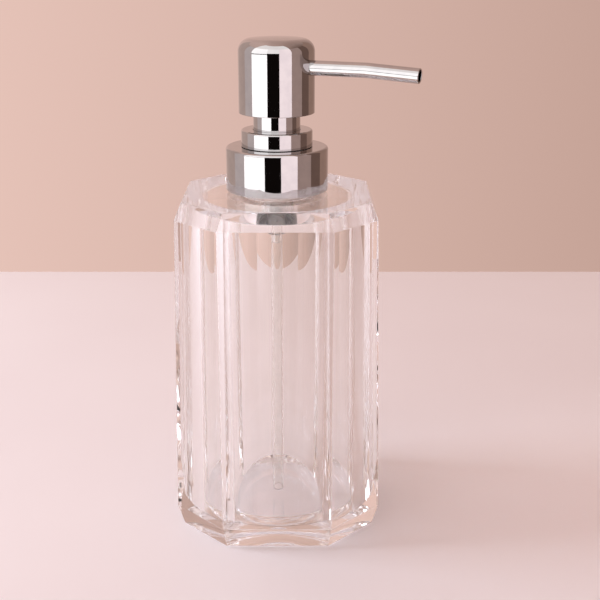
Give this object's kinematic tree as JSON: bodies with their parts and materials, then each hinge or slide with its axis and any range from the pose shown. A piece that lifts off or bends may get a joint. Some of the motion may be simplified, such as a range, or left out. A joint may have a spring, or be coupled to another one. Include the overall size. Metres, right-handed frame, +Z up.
{
  "type": "soap pump dispenser",
  "caption": "Clear octagonal countertop bottle for liquid soap with a screw-on chrome lotion pump, sprung press head and a swivelling thin tube spout.",
  "frame": {"origin": "middle of the bottle's flat underside, on the pump's axis", "axes": "+Z up along the pump's axis; two main faces of the octagon face +X and -X, two face +Y and -Y; the front face is towards -Y"},
  "size_m": [0.0819, 0.0712, 0.1688],
  "materials": {
    "clear_acrylic": "polished clear",
    "clear_cylinder": "clear moulded",
    "clear_tube": "clear extruded",
    "chrome_collar": "polished",
    "chrome_ring": "polished",
    "chrome_sleeve": "polished",
    "chrome_head": "polished",
    "chrome_spout": "polished",
    "moulded_cap": "moulded",
    "moulded_guide": "moulded",
    "soft_seal": "soft moulded",
    "gasket": "soft moulded",
    "steel_ball": "polished",
    "spring_steel": "drawn wire"
  },
  "bodies": {
    "bottle": {"bottle_body": "clear_acrylic", "bottle_shoulder": "clear_acrylic"},
    "pump_unit": {"pump_cylinder": "clear_cylinder", "stem_guide": "moulded_guide", "guide_ring_shell": "chrome_ring", "neck_gasket": "gasket", "wiper_seal": "soft_seal", "ball_retainer": "clear_cylinder", "dip_tube": "clear_tube", "spring": "spring_steel"},
    "closure": {"collar_shell": "chrome_collar", "threaded_cap": "moulded_cap"},
    "piston": {"piston_seal": "soft_seal"},
    "actuator": {"piston_rod": "moulded_guide", "stem": "moulded_guide", "stem_sleeve": "chrome_sleeve", "head_core": "moulded_guide", "head_shell": "chrome_head", "spout_tube": "chrome_spout", "spout_o_ring": "gasket"},
    "inlet_valve": {"inlet_ball": "steel_ball"},
    "outlet_valve": {"outlet_ball": "steel_ball"}
  },
  "joints": [
    {"name": "closure_rise", "type": "slide", "parent": "bottle", "child": "pump_unit", "axis": [0, 0, 1], "range_m": [0, 0.0063]},
    {"name": "closure_turn", "type": "hinge", "parent": "pump_unit", "child": "closure", "pos_m": [0, 0, 0.12], "axis": [0, 0, 1], "range_deg": [0, 540]},
    {"name": "press", "type": "slide", "parent": "pump_unit", "child": "piston", "axis": [0, 0, -1], "range_m": [0, 0.01], "stiffness_N_per_m": 800, "springref_m": -0.005, "deforming": ["spring"]},
    {"name": "head_swivel", "type": "hinge", "parent": "piston", "child": "actuator", "pos_m": [0, 0, 0.15], "axis": [0, 0, 1], "continuous": true},
    {"name": "inlet_ball_lift", "type": "slide", "parent": "pump_unit", "child": "inlet_valve", "axis": [0, 0, 1], "range_m": [0, 0.0008]},
    {"name": "outlet_ball_lift", "type": "slide", "parent": "actuator", "child": "outlet_valve", "axis": [0, 0, 1], "range_m": [0, 0.0012]}
  ],
  "couplings": [
    {"joint": "closure_turn", "follows": "closure_rise", "rad_per_m": 1496}
  ]
}
